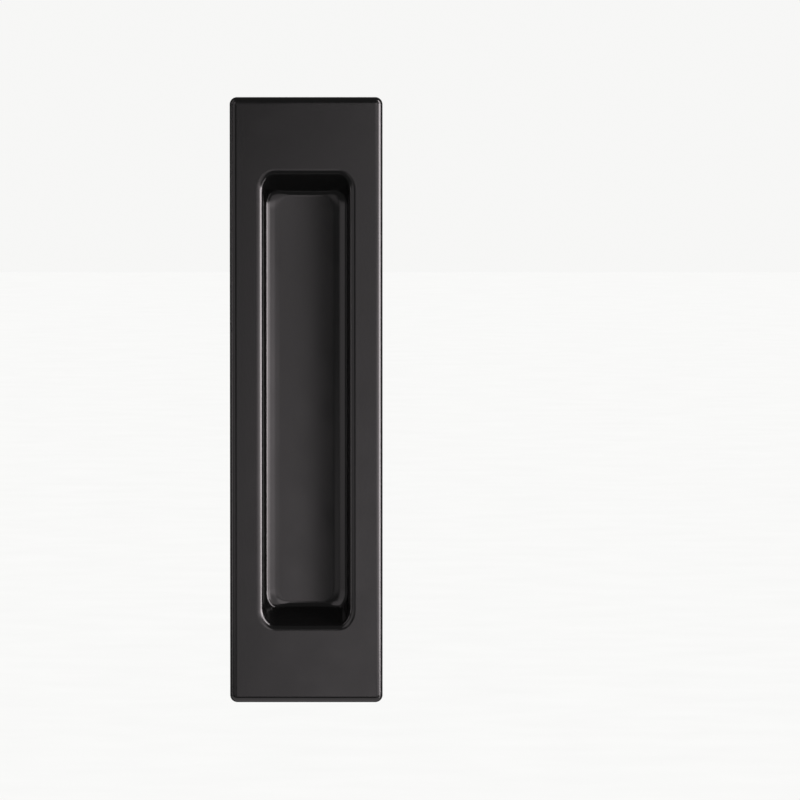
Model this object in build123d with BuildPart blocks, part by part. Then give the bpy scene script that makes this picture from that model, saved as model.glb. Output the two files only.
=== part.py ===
from build123d import *
import os
from math import cos, radians, tan

# A recessed pull for a sliding door, die cast in one piece and painted: a flat faceplate with
# rolled edges, and behind it a long finger cup that drops into a slot routed in the door.
# Sizes are in millimetres. +Z runs up the pull, the show face looks along -Y, and the origin is
# the middle of the faceplate's back, which lies on the face of the door.

# Faceplate
plate_height = 150.0
plate_width = 37.8
plate_thickness = 2.5
plate_edge_radius = 1.7
face_corner_radius = 0.1

# Mouth of the finger recess, where its walls would meet the show face in a sharp edge
end_margin = 18.7
side_margin = 8.35
mouth_edge_radius = 1.75

# Inside of the finger recess, its depth taken from the show face
recess_depth = 8.0
floor_hollow = 0.4
side_draft = 1.2
end_slope = 32.0
recess_corner_radius = 3.2
floor_edge_radius = 2.0

# Cup behind the faceplate
cup_wall = 1.6

# The four corner edges of the cup point into the door by more than this share of their direction
corner_lean = 0.5

face_y = -plate_thickness
plate_corner_radius = face_corner_radius + plate_edge_radius
mouth_width = plate_width - 2 * side_margin
mouth_height = plate_height - 2 * end_margin


def cup_form(wall, start):
    """The drafted block that shapes the cup, from the depth start down to its hollowed floor.

    With no wall it is the recess itself, and with the wall it is the outside of the cup.
    Depths are taken from the show face, and each wall leans inwards as it goes deeper.
    """
    deepest = recess_depth + wall
    floor_edge = deepest - floor_hollow
    below_floor = deepest + wall + floor_hollow

    def half_width(depth):
        return mouth_width / 2 + wall / cos(radians(side_draft)) - depth * tan(radians(side_draft))

    def half_height(depth):
        return mouth_height / 2 + wall / cos(radians(end_slope)) - depth * tan(radians(end_slope))

    with BuildPart() as form:
        # Section across the pull: two leaning sides and a floor hollowed from side to side
        with BuildSketch(Plane.XY):
            with BuildLine():
                top_left = (-half_width(start), face_y + start)
                top_right = (half_width(start), face_y + start)
                floor_left = (-half_width(floor_edge), face_y + floor_edge)
                floor_right = (half_width(floor_edge), face_y + floor_edge)
                Polyline(floor_left, top_left, top_right, floor_right)
                ThreePointArc(floor_right, (0, face_y + deepest), floor_left)
            make_face()
        extrude(amount=mouth_height, both=True)

        # Section along the pull: the two sloping ends
        with BuildSketch(Plane.YZ):
            with BuildLine():
                Polyline(
                    (face_y + start, -half_height(start)),
                    (face_y + start, half_height(start)),
                    (face_y + below_floor, half_height(below_floor)),
                    (face_y + below_floor, -half_height(below_floor)),
                    close=True,
                )
            make_face()
        extrude(amount=mouth_width, both=True, mode=Mode.INTERSECT)

        # Corners between sides and ends, then the edge all round the floor
        corners = form.edges().filter_by(lambda edge: abs(edge.tangent_at(0.5).Y) > corner_lean)
        fillet(corners, recess_corner_radius + wall)
        fillet(form.faces().sort_by(Axis.Y)[-1].edges(), floor_edge_radius + wall)

    return form.part


recess = cup_form(0.0, -mouth_edge_radius)
cup_outside = cup_form(cup_wall, plate_thickness / 2)

with BuildPart() as pull:
    # Faceplate with its front edges rolled over
    with BuildSketch(Plane.XZ):
        RectangleRounded(plate_width, plate_height, plate_corner_radius)
    extrude(amount=plate_thickness)
    fillet(pull.faces().sort_by(Axis.Y)[0].edges(), plate_edge_radius)

    # Cup, and the recess sunk into it through the faceplate
    add(cup_outside)
    add(recess, mode=Mode.SUBTRACT)

    # Rolled edge round the mouth
    show_face = pull.faces().sort_by(Axis.Y)[0]
    fillet(show_face.inner_wires()[0].edges(), mouth_edge_radius)

pull.part.label = "flush_pull"

os.makedirs("parts", exist_ok=True)
export_step(pull.part, "parts/flush_pull.step")
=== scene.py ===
"""A recessed pull for a sliding door, cast in one piece and sprayed satin black.

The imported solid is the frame. The same casting is drawn here finely, as one closed skin: a profile
carried round rounded rectangles, from the middle of the recess floor up its walls, over the rolled
mouth, across the show face, round the rolled edge, along the back and over the outside of the cup.

Sizes are in millimetres and angles in degrees unless a name says otherwise. Mesh points and the
studio are in metres. +Z runs up the pull, and the show face looks along -Y.
"""

import logging
from dataclasses import dataclass, field
from enum import Enum
from typing import Any

import bpy
import numpy as np
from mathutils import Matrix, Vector
from numpy.typing import NDArray


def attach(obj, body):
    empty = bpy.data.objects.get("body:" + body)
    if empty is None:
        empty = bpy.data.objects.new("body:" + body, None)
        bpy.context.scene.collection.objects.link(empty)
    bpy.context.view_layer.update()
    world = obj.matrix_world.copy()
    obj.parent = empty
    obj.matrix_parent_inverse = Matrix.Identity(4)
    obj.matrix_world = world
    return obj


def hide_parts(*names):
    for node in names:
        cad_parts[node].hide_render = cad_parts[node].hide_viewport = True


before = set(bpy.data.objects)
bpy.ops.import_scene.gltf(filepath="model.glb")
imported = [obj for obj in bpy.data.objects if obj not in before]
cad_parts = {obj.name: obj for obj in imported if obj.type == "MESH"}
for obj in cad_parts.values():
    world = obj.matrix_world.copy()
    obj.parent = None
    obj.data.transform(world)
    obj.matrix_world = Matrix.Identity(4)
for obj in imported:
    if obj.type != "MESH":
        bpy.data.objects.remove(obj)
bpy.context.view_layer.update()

Floats = NDArray[np.float64]

MILLIMETRE = 0.001
IMAGE_WIDTH = 800
SENSOR_WIDTH = 36.0
PANEL_COLOUR = "#fff6f9"

# The sRGB curve is a straight line up to its knee, and a power with an offset above it
SRGB_KNEE = 0.04045
SRGB_LINE = 12.92
SRGB_OFFSET = 0.055
SRGB_POWER = 2.4

# Where a Mix node takes in its two colours, and where it gives out their mix
FIRST_COLOUR = 6
SECOND_COLOUR = 7
MIXED_COLOUR = 2

log = logging.getLogger("flush_pull")


def linear(hex_colour: str) -> tuple[float, float, float, float]:
    """The linear colour, with full alpha, of an sRGB hex value such as #0a0a0a.

    Args:
        hex_colour: a hash sign and six hex digits.

    Returns:
        Red, green, blue and alpha, each from 0 to 1.
    """
    parts = np.array([int(hex_colour[i : i + 2], 16) for i in (1, 3, 5)]) / 255
    power = ((parts + SRGB_OFFSET) / (1 + SRGB_OFFSET)) ** SRGB_POWER
    return (*map(float, np.where(parts <= SRGB_KNEE, parts / SRGB_LINE, power)), 1.0)


def add_node(
    tree: bpy.types.NodeTree, kind: str, inputs: dict[str | int, Any], **settings: Any
) -> bpy.types.Node:
    """Adds one shader node with its settings and what goes into it.

    Args:
        tree: the node tree that gets the node.
        kind: the node's type, as Blender names it.
        inputs: for each input, by name or place, a value or the output that feeds it.
        settings: the node's own properties.

    Returns:
        The new node.
    """
    node = tree.nodes.new(kind)
    for name, value in settings.items():
        setattr(node, name, value)
    for name, value in inputs.items():
        if isinstance(value, bpy.types.NodeSocket):
            tree.links.new(value, node.inputs[name])
        else:
            node.inputs[name].default_value = value
    return node


def per_metre(wavelength: float) -> float:
    """The scale that gives a noise texture this wavelength, in millimetres, on a mesh in metres."""
    return 1 / (wavelength * MILLIMETRE)


@dataclass(frozen=True)
class SatinBlackPaint:
    """Satin black paint, sprayed on die-cast zinc and baked.

    A smooth film with a soft shine. It is so dark that nearly all its light is mirrored at the
    surface. Spraying leaves a shallow orange peel a few millimetres across, and the matting
    powder in the paint settles unevenly, which clouds the shine a little. The powder's own grain
    is too fine to show in the render, so it is drawn coarser, about half a millimetre across.
    """

    name: str = "satin_black_paint"
    thin_film: str = "#0b0b0b"
    full_film: str = "#080808"
    ior: float = 1.5
    glossiest: float = 0.15
    dullest: float = 0.19
    cloud_size: float = 9.0
    cloud_detail: float = 3.0
    cloud_roughness: float = 0.55
    cloud_range: tuple[float, float] = (0.3, 0.7)
    peel_size: float = 2.6
    peel_height: float = 0.0012
    grain_size: float = 0.45
    grain_height: float = 0.00012
    hill_detail: float = 1.0
    hill_roughness: float = 0.4

    def make(self) -> bpy.types.Material:
        """Builds the paint as a node material that reads Object coordinates.

        Returns:
            The new material.
        """
        material = bpy.data.materials.new(self.name)
        material.use_nodes = True
        tree = material.node_tree
        place = add_node(tree, "ShaderNodeTexCoord", {}).outputs["Object"]
        clouds = add_node(
            tree,
            "ShaderNodeTexNoise",
            {"Vector": place, "Scale": per_metre(self.cloud_size),
             "Detail": self.cloud_detail, "Roughness": self.cloud_roughness},
        ).outputs["Fac"]
        film = add_node(
            tree,
            "ShaderNodeMix",
            {"Factor": clouds,
             FIRST_COLOUR: linear(self.full_film), SECOND_COLOUR: linear(self.thin_film)},
            data_type="RGBA",
        ).outputs[MIXED_COLOUR]
        shine = add_node(
            tree,
            "ShaderNodeMapRange",
            {"Value": clouds, "From Min": self.cloud_range[0], "From Max": self.cloud_range[1],
             "To Min": self.glossiest, "To Max": self.dullest},
        ).outputs["Result"]
        peel = self.bump(tree, place, self.peel_size, self.peel_height, None)
        grain = self.bump(tree, place, self.grain_size, self.grain_height, peel)
        shader = tree.nodes["Principled BSDF"]
        shader.inputs["IOR"].default_value = self.ior
        tree.links.new(film, shader.inputs["Base Color"])
        tree.links.new(shine, shader.inputs["Roughness"])
        tree.links.new(grain, shader.inputs["Normal"])
        return material

    def bump(
        self,
        tree: bpy.types.NodeTree,
        place: bpy.types.NodeSocket,
        size: float,
        height: float,
        under: bpy.types.NodeSocket | None,
    ) -> bpy.types.NodeSocket:
        """Adds one layer of soft hills to the film.

        Args:
            tree: the paint's node tree.
            place: the coordinates that the hills are laid out in.
            size: their width in millimetres.
            height: their height in millimetres.
            under: the layer below, or None for the first.

        Returns:
            The normal of the surface with the hills.
        """
        hills = add_node(
            tree,
            "ShaderNodeTexNoise",
            {"Vector": place, "Scale": per_metre(size),
             "Detail": self.hill_detail, "Roughness": self.hill_roughness},
        ).outputs["Fac"]
        inputs = {"Height": hills, "Distance": height * MILLIMETRE, "Strength": 1.0}
        if under is not None:
            inputs["Normal"] = under
        return add_node(tree, "ShaderNodeBump", inputs).outputs["Normal"]


@dataclass(frozen=True)
class PaleCard:
    """Matt off-white card, the plain floor of the studio, with no shine of its own."""

    name: str = "pale_card"
    colour: str = "#f4f4f3"
    fleck: str = "#efefee"
    fleck_size: float = 40.0
    roughness: float = 0.95

    def make(self) -> bpy.types.Material:
        """Builds the card as a node material.

        Returns:
            The new material.
        """
        material = bpy.data.materials.new(self.name)
        material.use_nodes = True
        tree = material.node_tree
        place = add_node(tree, "ShaderNodeTexCoord", {}).outputs["Object"]
        mottle = add_node(
            tree, "ShaderNodeTexNoise", {"Vector": place, "Scale": per_metre(self.fleck_size)}
        ).outputs["Fac"]
        paper = add_node(
            tree,
            "ShaderNodeMix",
            {"Factor": mottle,
             FIRST_COLOUR: linear(self.fleck), SECOND_COLOUR: linear(self.colour)},
            data_type="RGBA",
        ).outputs[MIXED_COLOUR]
        shader = tree.nodes["Principled BSDF"]
        shader.inputs["Roughness"].default_value = self.roughness
        shader.inputs["Specular IOR Level"].default_value = 0.0
        tree.links.new(paper, shader.inputs["Base Color"])
        return material


@dataclass(frozen=True)
class Turn:
    """One turn round a rounded rectangle, as the columns that every ring of the skin shares.

    Each column hangs from a corner centre, which slides along the straights, and looks out from it
    at an angle. The same columns fit a rounded rectangle of any size and corner.
    """

    across: Floats
    up: Floats
    angle: Floats

    @classmethod
    def divided(cls, long_steps: int, short_steps: int, corner_steps: int) -> "Turn":
        """Divides the turn, anticlockwise from the foot of the right side as the show face is seen.

        Args:
            long_steps: steps along each upright straight.
            short_steps: steps along each level straight.
            corner_steps: steps round each corner.

        Returns:
            The columns of the turn.
        """
        corner_across = (1, 1, -1, -1, 1)
        corner_up = (-1, 1, 1, -1, -1)
        bend = np.linspace(0, 1, corner_steps, endpoint=False)
        across, up, angle = [], [], []
        for side in range(4):
            straight = held_steps(long_steps if side % 2 == 0 else short_steps)[:-1]
            near, far = corner_across[side], corner_across[side + 1]
            low, high = corner_up[side], corner_up[side + 1]
            across += [near + (far - near) * straight, np.full(corner_steps, far)]
            up += [low + (high - low) * straight, np.full(corner_steps, high)]
            angle += [np.full(len(straight), side), side + bend]
        return cls(
            np.concatenate(across), np.concatenate(up), np.radians(90) * np.concatenate(angle)
        )


def held_steps(steps: int, hold: float = 0.04) -> Floats:
    """Even steps from 0 to 1, with one more close inside each end.

    The extra steps keep a flat stretch flat right up to the round that it runs into.

    Args:
        steps: how many even steps.
        hold: how far inside an end the extra one lies, as a share of one step.

    Returns:
        The places of the steps, rising.
    """
    even = np.linspace(0, 1, steps + 1)
    inside = hold / steps
    return np.sort(np.concatenate([even, [inside, 1 - inside]]))


def quarter_round(steps: int) -> tuple[Floats, Floats]:
    """How far a quarter round has left its first tangent and neared its second.

    Args:
        steps: how many steps the quarter turn has.

    Returns:
        The two shares of the radius: one minus the cosine, and one minus the sine.
    """
    turn = np.linspace(0, np.pi / 2, steps + 1)
    return 1 - np.cos(turn), 1 - np.sin(turn)


@dataclass(frozen=True)
class Rings:
    """Rounded rectangles in order along the skin, one value of each size for every ring."""

    half_width: Floats
    half_height: Floats
    corner_width: Floats
    corner_height: Floats
    depth: Floats

    def surface(self, turn: Turn) -> Floats:
        """Places the rings' points.

        A corner is a quarter of an ellipse. A point is the corner's centre plus its half width
        times the cosine of the angle and its half height times the sine. The centre lies those
        two inside the ring's half width and half height.

        Args:
            turn: the columns of the skin.

        Returns:
            Points in millimetres, rings by columns by three.
        """
        wide, tall = self.corner_width[:, None], self.corner_height[:, None]
        x = turn.across * (self.half_width[:, None] - wide) + wide * np.cos(turn.angle)
        z = turn.up * (self.half_height[:, None] - tall) + tall * np.sin(turn.angle)
        return np.stack([x, np.broadcast_to(self.depth[:, None], x.shape), z], axis=-1)


@dataclass(frozen=True)
class DraftedCup:
    """A long cup with leaning walls, rounds along its mouth and floor, and a hollowed floor.

    It is the recess itself, and with a wall added the outside of the cup. Depths are taken from
    the show face, and half sizes are where the bare walls would meet the show face. The mouth's
    round runs out level at the mouth depth. A pair is a value across the pull and one along it.
    """

    half_width: float
    half_height: float
    side_draft: float
    end_slope: float
    mouth_corner: tuple[float, float]
    foot_corner: tuple[float, float]
    floor_corner: tuple[float, float]
    mouth_depth: float
    mouth_radius: float
    floor_depth: float
    floor_round: float
    floor_stretch: tuple[float, float]
    floor_hollow: float

    round_steps: int = 24
    wall_steps: int = 8
    floor_steps: int = 24

    def inset(self, depth: Floats, side: int, floor_depth: Floats | float) -> Floats:
        """How far a wall stands inside its meeting with the show face, at a depth.

        The bare wall is depth times the tangent of its slope. A round that touches it and a level
        plane has its centre one radius from the plane, and meets the two a radius times the
        tangent of 45 degrees less half the slope away from their sharp corner. The floor's round
        is that round worked out on a steeper wall, and then stretched along the floor.

        Args:
            depth: depths from the show face.
            side: 0 for the long side walls, and 1 for the end walls.
            floor_depth: the floor's depth beside that stretch of wall.

        Returns:
            The insets, in millimetres.
        """
        rise = np.tan(np.radians((self.side_draft, self.end_slope)[side]))
        lean = np.arctan(rise)
        run = self.mouth_radius * np.tan(np.pi / 4 - lean / 2)
        from_centre = self.mouth_depth + self.mouth_radius - depth
        arc = np.sqrt(np.clip(self.mouth_radius**2 - from_centre**2, 0, None))
        mouth = self.mouth_depth * rise + arc - run
        mouth_end = self.mouth_depth + run * np.cos(lean)

        stretch = self.floor_stretch[side]
        lean = np.arctan(rise / stretch)
        run = self.floor_round * np.tan(np.pi / 4 - lean / 2)
        from_centre = depth - floor_depth + self.floor_round
        arc = np.sqrt(np.clip(self.floor_round**2 - from_centre**2, 0, None))
        floor = floor_depth * rise + stretch * (run - arc)
        floor_start = floor_depth - run * np.cos(lean)
        return np.select([depth < mouth_end, depth > floor_start], [mouth, floor], depth * rise)

    def hollow(self, x: Floats) -> Floats:
        """How much deeper the floor is at x than at its edges: a shallow arc from side to side."""
        edge = self.half_width - self.floor_depth * np.tan(np.radians(self.side_draft))
        return self.floor_hollow * np.clip(1 - (x / edge) ** 2, 0, None)

    def corner_at(self, depth: Floats, part: int) -> Floats:
        """A corner's half width or half height at a depth.

        It grows evenly down the wall from the mouth to the foot, is wider over the mouth's round
        by what that round stands out, and shrinks along the floor's round to the floor's own.

        Args:
            depth: depths from the show face.
            part: 0 for the half width, and 1 for the half height.

        Returns:
            The sizes, in millimetres.
        """
        slope = (self.side_draft, self.end_slope)[part]
        beyond = self.inset(depth, part, self.floor_depth) - depth * np.tan(np.radians(slope))
        down = (depth - self.mouth_depth) / (self.floor_depth - self.mouth_depth)
        wall = self.mouth_corner[part] + (self.foot_corner[part] - self.mouth_corner[part]) * down
        along_floor = np.clip(beyond, 0, None) / np.max(beyond)
        return wall + np.clip(-beyond, 0, None) + (self.floor_corner[part] - wall) * along_floor

    def surface(self, turn: Turn) -> Floats:
        """The cup's skin from the middle of its floor to its mouth.

        The rings of the walls sink with the hollow floor, fully along the floor's round and less
        and less up the wall, and each point of an end wall takes its inset at its own depth. The
        floor is the innermost of those rings drawn together to the middle.

        Args:
            turn: the columns of the skin.

        Returns:
            Points in millimetres, rings by columns by three, with depth in place of Y.
        """
        leave, _ = quarter_round(self.round_steps)
        floor_top = self.floor_depth - self.floor_round
        mouth_foot = self.mouth_depth + self.mouth_radius
        climb = held_steps(self.wall_steps)[1:-1]
        level = np.concatenate([
            self.floor_depth - self.floor_round * leave,
            floor_top + (mouth_foot - floor_top) * climb,
            self.mouth_depth + self.mouth_radius * leave[::-1],
        ])
        sink = np.concatenate([np.ones_like(leave), 1 - climb, np.zeros_like(leave)])
        rings = Rings(
            self.half_width - self.inset(level, 0, self.floor_depth),
            self.half_height - self.inset(level, 1, self.floor_depth),
            self.corner_at(level, 0),
            self.corner_at(level, 1),
            level,
        )
        walls = rings.surface(turn)
        hollow = self.hollow(walls[..., 0])
        depth = walls[..., 1] + sink[:, None] * hollow
        lowered = self.inset(depth, 1, self.floor_depth + hollow)
        walls[..., 2] -= turn.up * (lowered - (self.half_height - rings.half_height)[:, None])
        walls[..., 1] = depth

        share = held_steps(self.floor_steps)[1:-1][:, None]
        x, z = walls[0, :, 0] * share, walls[0, :, 2] * share
        floor = np.stack([x, self.floor_depth + self.hollow(x), z], axis=-1)
        return np.concatenate([floor, walls])


@dataclass(frozen=True)
class PullCasting:
    """The whole pull: a flat faceplate with rolled edges and a finger cup behind it.

    The holds are how far from a round the plate has one more ring, to stay flat right up to it.
    """

    name: str = "flush_pull_casting"
    node: str = "flush_pull"

    plate_height: float = 150.0
    plate_width: float = 37.8
    plate_thickness: float = 2.5
    plate_edge_radius: float = 1.7
    face_corner_radius: float = 0.1
    back_edge_radius: float = 0.25

    end_margin: float = 18.7
    side_margin: float = 8.35
    mouth_edge_radius: float = 1.75

    recess_depth: float = 8.0
    floor_hollow: float = 0.4
    side_draft: float = 1.2
    end_slope: float = 32.0
    mouth_corner: tuple[float, float] = (2.8, 4.2)
    foot_corner: tuple[float, float] = (3.2, 4.4)
    floor_corner: tuple[float, float] = (3.0, 3.2)
    floor_round: float = 1.6
    floor_stretch: tuple[float, float] = (2.4, 1.15)

    cup_wall: float = 1.6
    cup_root_radius: float = 0.4

    long_steps: int = 60
    short_steps: int = 24
    corner_steps: int = 20
    edge_steps: int = 20
    side_steps: int = 2
    back_edge_steps: int = 6
    plate_hold: float = 0.12
    cup_hold: float = 0.06

    paint: SatinBlackPaint = field(default_factory=SatinBlackPaint)

    def cup(self, wall: float) -> DraftedCup:
        """The form of the cup: the recess with no wall, and its outside with the wall added.

        The wall adds itself to both half sizes of the floor's stretched round, so that it stays
        nearly even there.

        Args:
            wall: how much metal lies between the recess and this form.

        Returns:
            The cup's form.
        """
        outside = wall > 0
        return DraftedCup(
            half_width=self.plate_width / 2 - self.side_margin
            + wall / np.cos(np.radians(self.side_draft)),
            half_height=self.plate_height / 2 - self.end_margin
            + wall / np.cos(np.radians(self.end_slope)),
            side_draft=self.side_draft,
            end_slope=self.end_slope,
            mouth_corner=tuple(size + wall for size in self.mouth_corner),
            foot_corner=tuple(size + wall for size in self.foot_corner),
            floor_corner=self.floor_corner,
            mouth_depth=self.plate_thickness if outside else 0.0,
            mouth_radius=self.cup_root_radius if outside else self.mouth_edge_radius,
            floor_depth=self.recess_depth + wall - self.floor_hollow,
            floor_round=self.floor_round + wall,
            floor_stretch=tuple(
                (stretch * self.floor_round + wall) / (self.floor_round + wall)
                for stretch in self.floor_stretch
            ),
            floor_hollow=self.floor_hollow,
        )

    def plate(self, turn: Turn) -> Floats:
        """The faceplate's skin, from just outside the mouth to just outside the cup's root.

        The face runs level to a quarter round, the side runs straight back from it, and a small
        quarter round breaks the back edge. Each round keeps its corner centres where they are.

        Args:
            turn: the columns of the skin.

        Returns:
            Points in millimetres, rings by columns by three, with depth in place of Y.
        """
        front, back = self.plate_edge_radius, self.back_edge_radius
        leave, near = quarter_round(self.edge_steps)
        leave_back, near_back = quarter_round(self.back_edge_steps)
        side = held_steps(self.side_steps)[1:-1]
        level = np.concatenate([
            [0.0],
            front * leave,
            front + (self.plate_thickness - back - front) * side,
            self.plate_thickness - back * near_back,
            [self.plate_thickness],
        ])
        drawn_in = np.concatenate([
            [front + self.plate_hold],
            front * near,
            np.zeros_like(side),
            back * leave_back,
            [back + self.plate_hold],
        ])
        outer_corner = self.face_corner_radius + self.plate_edge_radius
        corner = np.maximum(outer_corner - drawn_in, self.face_corner_radius)
        rings = Rings(
            self.plate_width / 2 - drawn_in, self.plate_height / 2 - drawn_in, corner, corner, level
        )
        return rings.surface(turn)

    def beside(self, outline: Floats, turn: Turn) -> Floats:
        """A ring a little outside a cup's outline, in the same plane, to keep the plate flat there.

        Args:
            outline: the cup's outermost ring.
            turn: the columns of the skin.

        Returns:
            One ring of points.
        """
        out = np.stack([np.cos(turn.angle), np.zeros_like(turn.angle), np.sin(turn.angle)], axis=-1)
        return (outline + self.cup_hold * out)[None]

    def skin(self) -> Floats:
        """All the rings of the pull in order, in metres, with the show face along -Y.

        Returns:
            Points in metres, rings by columns by three.
        """
        turn = Turn.divided(self.long_steps, self.short_steps, self.corner_steps)
        recess = self.cup(0.0).surface(turn)
        outside = self.cup(self.cup_wall).surface(turn)[::-1]
        rings = np.concatenate([
            recess,
            self.beside(recess[-1], turn),
            self.plate(turn),
            self.beside(outside[0], turn),
            outside,
        ])
        rings[..., 1] -= self.plate_thickness
        return rings * MILLIMETRE

    def build(self) -> bpy.types.Object:
        """Makes the casting's mesh and paints it.

        Returns:
            The casting, riding on the part's one body in place of its solid.
        """
        cups = [self.cup(0.0), self.cup(self.cup_wall)]
        poles = np.array([
            [0.0, cup.floor_depth + cup.floor_hollow - self.plate_thickness, 0.0] for cup in cups
        ]) * MILLIMETRE
        casting = closed_skin(self.name, self.skin(), poles)
        mesh = casting.data
        mesh.materials.append(self.paint.make())
        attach(casting, "root")
        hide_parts(self.node)
        log.info("%s: %d points, %d faces", self.name, len(mesh.vertices), len(mesh.polygons))
        return casting


def closed_skin(name: str, rings: Floats, poles: Floats) -> bpy.types.Object:
    """A smooth mesh through rings of points, closed round and drawn to a point at both ends.

    Ring by ring, four neighbouring points make a face, and the last column joins the first. The
    first and last rings fan to their poles. With rings turning anticlockwise and growing outwards
    as the front is seen, every face looks outwards.

    Args:
        name: the object's name.
        rings: points, rings by columns by three.
        poles: the first and the last point of the skin.

    Returns:
        The new object, at the origin.
    """
    count, columns, _ = rings.shape
    index = 1 + np.arange(count * columns).reshape(count, columns)
    beside = np.roll(index, -1, axis=1)
    last = 1 + count * columns
    quads = np.stack([index[:-1], index[1:], beside[1:], beside[:-1]], axis=-1).reshape(-1, 4)
    first_fan = np.stack([np.zeros_like(index[0]), index[0], beside[0]], axis=-1)
    last_fan = np.stack([index[-1], np.full_like(index[-1], last), beside[-1]], axis=-1)
    points = np.concatenate([poles[:1], rings.reshape(-1, 3), poles[1:]])
    mesh = bpy.data.meshes.new(name)
    mesh.from_pydata(points.tolist(), [], quads.tolist() + first_fan.tolist() + last_fan.tolist())
    mesh.shade_smooth()
    mesh.validate()
    made = bpy.data.objects.new(name, mesh)
    bpy.context.scene.collection.objects.link(made)
    return made


class FallsOn(Enum):
    """What a light falls on."""

    PULL = "pull"
    FLOOR = "floor"


def hang_panel(
    name: str, size: tuple[float, float], brightness: float, middle: Vector, lit: bpy.types.Collection
) -> bpy.types.Object:
    """Hangs a panel of even, faintly rosy light, unseen by the camera.

    The power that a panel needs is its brightness times pi times its area.

    Args:
        name: the light's name.
        size: the panel's width and its height, or its depth where it lies level.
        brightness: its own brightness, where 1 shows as white.
        middle: the middle of the panel.
        lit: the things that it lights.

    Returns:
        The new light, shining along its own -Z.
    """
    lamp = bpy.data.lights.new(name, "AREA")
    lamp.shape = "RECTANGLE"
    lamp.size, lamp.size_y = size
    lamp.color = linear(PANEL_COLOUR)[:3]
    lamp.energy = brightness * np.pi * size[0] * size[1]
    panel = bpy.data.objects.new(name, lamp)
    panel.location = middle
    panel.visible_camera = False
    panel.light_linking.receiver_collection = lit
    bpy.context.scene.collection.objects.link(panel)
    return panel


@dataclass(frozen=True)
class Softbox:
    """An upright panel of even light that faces the pull from one side, in metres and degrees.

    Azimuth 0 is straight in front of the show face, and 90 is towards +X. The brightness is the
    panel's own, where 1 shows as white.
    """

    name: str
    azimuth: float
    distance: float
    width: float
    bottom: float
    top: float
    brightness: float

    def place(self, lit: bpy.types.Collection) -> bpy.types.Object:
        """Stands the panel upright in the studio.

        Args:
            lit: the things that it lights.

        Returns:
            The new light.
        """
        turn = np.radians(self.azimuth)
        outwards = Vector((np.sin(turn), -np.cos(turn), 0))
        height = self.top - self.bottom
        middle = outwards * self.distance + Vector((0, 0, (self.bottom + self.top) / 2))
        panel = hang_panel(self.name, (self.width, height), self.brightness, middle, lit)
        panel.rotation_euler = (-outwards).to_track_quat("-Z", "Y").to_euler()
        return panel


@dataclass(frozen=True)
class UnderCard:
    """A level card close under the pull that shines up at its lower edge, in metres.

    It reaches forwards from the face of the door, which is at 0.
    """

    name: str
    level: float
    width: float
    reach: float
    brightness: float

    def place(self, lit: bpy.types.Collection) -> bpy.types.Object:
        """Lays the card level under the pull.

        Args:
            lit: the things that it lights.

        Returns:
            The new light.
        """
        middle = Vector((0, -self.reach / 2, self.level))
        panel = hang_panel(self.name, (self.width, self.reach), self.brightness, middle, lit)
        panel.rotation_euler = (np.pi, 0, 0)
        return panel


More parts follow.
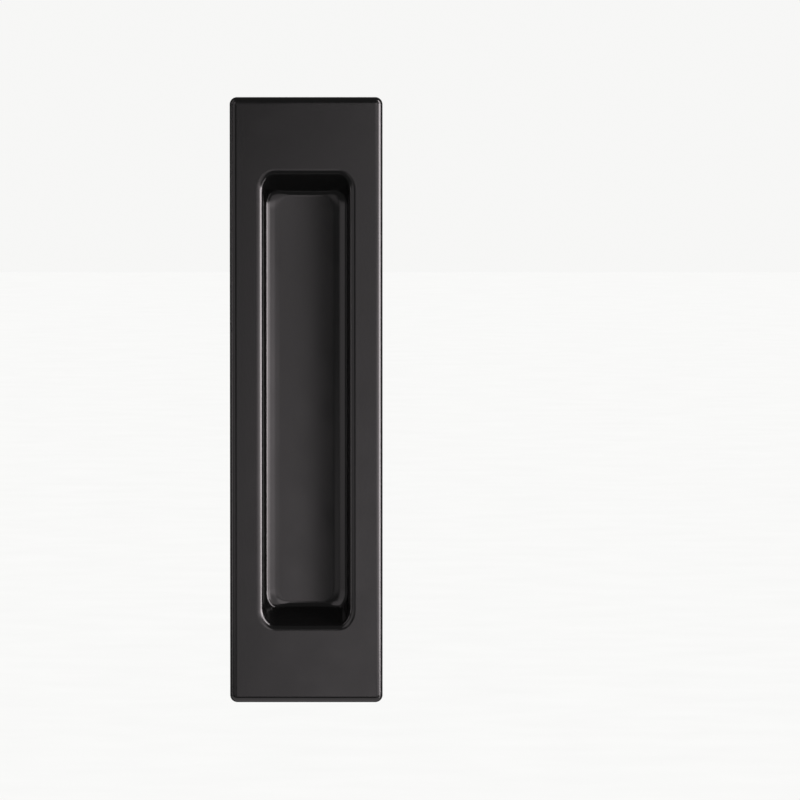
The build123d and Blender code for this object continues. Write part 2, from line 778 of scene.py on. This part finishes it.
@dataclass(frozen=True)
class Studio:
    """A pale floor, soft panels of light round the pull, and the camera.

    Lengths are in metres, and the pull's place in the picture is in pixels.
    """

    floor_level: float = -0.20
    floor_size: float = 14.0
    floor_light: float = 3.0
    floor_light_spread: float = 60.0
    room_colour: str = "#ffffff"
    room_glow: float = 0.12

    camera_distance: float = 2.0
    camera_elevation: float = 2.8
    millimetres_per_pixel: float = 0.24745
    pull_left_of_middle: float = 93.85
    pull_below_middle: float = 0.5

    card: PaleCard = field(default_factory=PaleCard)

    # A softbox's name, azimuth, distance, width, bottom, top and brightness, and the card's name,
    # level, width, reach and brightness
    panels: tuple[Softbox | UnderCard, ...] = (
        Softbox("right_strip", 82.0, 1.0, 0.20, -0.15, 0.20, 5.0),
        Softbox("right_tall", 76.0, 1.0, 0.42, -0.15, 1.50, 9.5),
        Softbox("right_low", 78.0, 1.0, 0.30, -0.80, -0.15, 2.5),
        Softbox("right_wing", 61.0, 1.0, 0.54, -0.15, 0.20, 3.5),
        Softbox("right_front", 43.0, 1.0, 0.76, -0.15, 0.60, 1.0),
        Softbox("front_right_low", 26.0, 1.0, 0.76, -0.14, 0.00, 1.4),
        Softbox("front_right_foot", 26.0, 1.0, 0.76, -0.50, -0.14, 0.7),
        Softbox("front_right_high", 12.0, 1.0, 0.36, 0.05, 0.40, 2.0),
        Softbox("front_low", 1.0, 1.0, 0.12, -0.40, -0.06, 1.35),
        Softbox("front_middle", 1.0, 1.0, 0.12, -0.06, 0.05, 0.9),
        Softbox("left_front", -19.0, 1.0, 0.30, -0.40, -0.06, 0.4),
        Softbox("left_wing", -45.0, 1.0, 0.54, -0.15, 0.20, 0.7),
        Softbox("left_upper", -38.0, 1.0, 0.70, 0.20, 0.80, 0.9),
        Softbox("left_strip", -83.0, 1.0, 0.24, -0.15, 0.05, 2.2),
        Softbox("left_tall", -83.0, 1.0, 0.24, 0.20, 1.50, 1.5),
        UnderCard("under_card", -0.079, 0.10, 0.008, 0.8),
    )

    def gather(self, target: FallsOn, thing: bpy.types.Object) -> bpy.types.Collection:
        """A collection that holds the one thing that some of the lights fall on.

        Args:
            target: which of the named targets the thing is.
            thing: the thing itself.

        Returns:
            The new collection, outside the scene.
        """
        lit = bpy.data.collections.new(f"lit_{target.value}")
        lit.objects.link(thing)
        return lit

    def lay_floor(self) -> bpy.types.Object:
        """Lays a plain level floor under the pull.

        The floor stays out of the paint's reflections, which hold the panels and the dim room.

        Returns:
            The floor.
        """
        half = self.floor_size / 2
        corners = np.array([[-1, -1, 0], [1, -1, 0], [1, 1, 0], [-1, 1, 0]]) * half
        corners[:, 2] = self.floor_level
        mesh = bpy.data.meshes.new("floor")
        mesh.from_pydata(corners.tolist(), [], [(0, 1, 2, 3)])
        mesh.materials.append(self.card.make())
        floor = bpy.data.objects.new("floor", mesh)
        floor.visible_glossy = False
        bpy.context.scene.collection.objects.link(floor)
        return floor

    def light_floor(self, floor: bpy.types.Object) -> None:
        """Lights the floor evenly from straight above, and nothing else.

        Args:
            floor: the studio's floor.
        """
        lamp = bpy.data.lights.new("floor_light", "SUN")
        lamp.energy = self.floor_light
        lamp.angle = np.radians(self.floor_light_spread)
        sky = bpy.data.objects.new("floor_light", lamp)
        sky.light_linking.receiver_collection = self.gather(FallsOn.FLOOR, floor)
        bpy.context.scene.collection.objects.link(sky)

    def paint_room(self) -> None:
        """Makes the room past the floor pale to the camera, and dim to all else.

        A matt floor shows its own colour times the sum of the sun's strength over pi and the
        room's glow. The room shows the darker of the card's two colours in the same way, so it
        comes out a shade darker than the floor.
        """
        world = bpy.data.worlds.new("studio_room")
        world.use_nodes = True
        tree = world.node_tree
        dim = tree.nodes["Background"]
        dim.inputs["Color"].default_value = linear(self.room_colour)
        dim.inputs["Strength"].default_value = self.room_glow
        pale = add_node(
            tree,
            "ShaderNodeBackground",
            {"Color": linear(self.card.fleck), "Strength": self.floor_light / np.pi + self.room_glow},
        )
        seen = add_node(tree, "ShaderNodeLightPath", {}).outputs["Is Camera Ray"]
        room = add_node(
            tree, "ShaderNodeMixShader", {0: seen, 1: dim.outputs[0], 2: pale.outputs[0]}
        )
        tree.links.new(room.outputs[0], tree.nodes["World Output"].inputs["Surface"])
        bpy.context.scene.world = world

    def aim_camera(self) -> None:
        """Puts the camera where the pull's outline lines up with the photograph's.

        The focal length is the sensor's width times the distance, over what the picture spans at
        the show face. The camera looks past the pull's right side, so that no shift is needed.
        """
        pixel = self.millimetres_per_pixel * MILLIMETRE
        span = IMAGE_WIDTH * pixel
        rise = np.radians(self.camera_elevation)
        lens = bpy.data.cameras.new("camera")
        lens.sensor_width = SENSOR_WIDTH
        lens.lens = SENSOR_WIDTH * self.camera_distance / span
        camera = bpy.data.objects.new("camera", lens)
        face = -PullCasting.plate_thickness * MILLIMETRE
        aim = Vector((
            self.pull_left_of_middle * pixel,
            face,
            self.pull_below_middle * pixel / np.cos(rise),
        ))
        back = Vector((0, -np.cos(rise), np.sin(rise)))
        camera.location = aim + back * self.camera_distance
        camera.rotation_euler = (-back).to_track_quat("-Z", "Y").to_euler()
        bpy.context.scene.collection.objects.link(camera)
        bpy.context.scene.camera = camera

    def build(self, pull: bpy.types.Object) -> None:
        """Sets the whole studio up round the pull.

        Args:
            pull: the painted casting.
        """
        floor = self.lay_floor()
        self.light_floor(floor)
        self.paint_room()
        self.aim_camera()
        lit = self.gather(FallsOn.PULL, pull)
        for panel in self.panels:
            panel.place(lit)
            log.info("%s placed", panel.name)
        bpy.context.scene.view_settings.view_transform = "Standard"


def main() -> None:
    """Builds the pull and the studio round it."""
    logging.basicConfig(level=logging.INFO, format="%(name)s: %(message)s")
    pull = PullCasting().build()
    Studio().build(pull)


if __name__ == "__main__":
    main()
